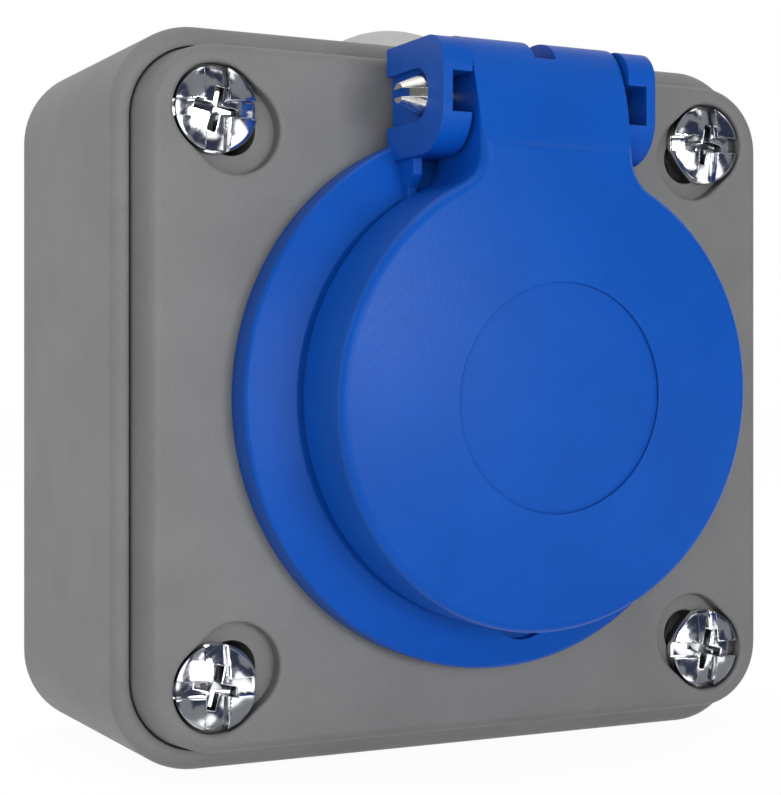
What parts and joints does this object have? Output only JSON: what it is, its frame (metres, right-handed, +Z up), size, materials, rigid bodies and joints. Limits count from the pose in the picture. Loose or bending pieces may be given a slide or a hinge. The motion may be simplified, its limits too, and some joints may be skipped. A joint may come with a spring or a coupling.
{
  "type": "weatherproof wall socket",
  "caption": "Surface-mounted weatherproof wall socket: square grey enclosure with a screwed cover and a round blue plug well under a sprung, hinged lid.",
  "frame": {"origin": "centre of the enclosure's back face, on the wall", "axes": "+Z up, -Y out of the wall towards the user, +X to the right for a person who faces the wall"},
  "size_m": [0.082, 0.0583, 0.0849],
  "materials": {
    "grey_housing": "fine matte texture",
    "grey_plug": "fine matte texture",
    "black_rubber": "soft, dull",
    "light_grommet": "soft, dull",
    "plated_screw": "bright plated",
    "zinc_screw": "zinc plated",
    "bright_pin": "bright, slightly worn",
    "spring_steel": "drawn wire",
    "blue_plastic": "satin",
    "dark_carrier": "moulded, matte",
    "contact_brass": "bright",
    "earth_steel": "nickel plated strip"
  },
  "bodies": {
    "housing": {"back_box": "grey_housing", "front_cover": "grey_housing", "cover_gasket": "black_rubber", "flange_gasket": "black_rubber", "cover_screws": "plated_screw", "top_entry_grommet": "light_grommet", "bottom_entry_plug": "grey_plug", "socket_body": "blue_plastic", "socket_fixing_screws": "zinc_screw", "plate_screws": "zinc_screw", "centre_screw": "zinc_screw", "terminal_screws": "zinc_screw", "hinge_pin": "bright_pin", "lid_spring": "spring_steel", "contact_carrier": "dark_carrier", "terminal_plate": "dark_carrier", "live_contact": "contact_brass", "neutral_contact": "contact_brass", "earth_strap": "earth_steel"},
    "lid_flap": {"lid": "blue_plastic", "lid_seal": "black_rubber"}
  },
  "joints": [
    {"name": "lid_hinge", "type": "hinge", "parent": "housing", "child": "lid_flap", "pos_m": [0, -0.0495, 0.0318], "axis": [-1, 0, 0], "range_deg": [0, 110], "stiffness_Nm_per_rad": 0.012, "springref_deg": -45.84, "deforming": ["lid_spring"]}
  ]
}
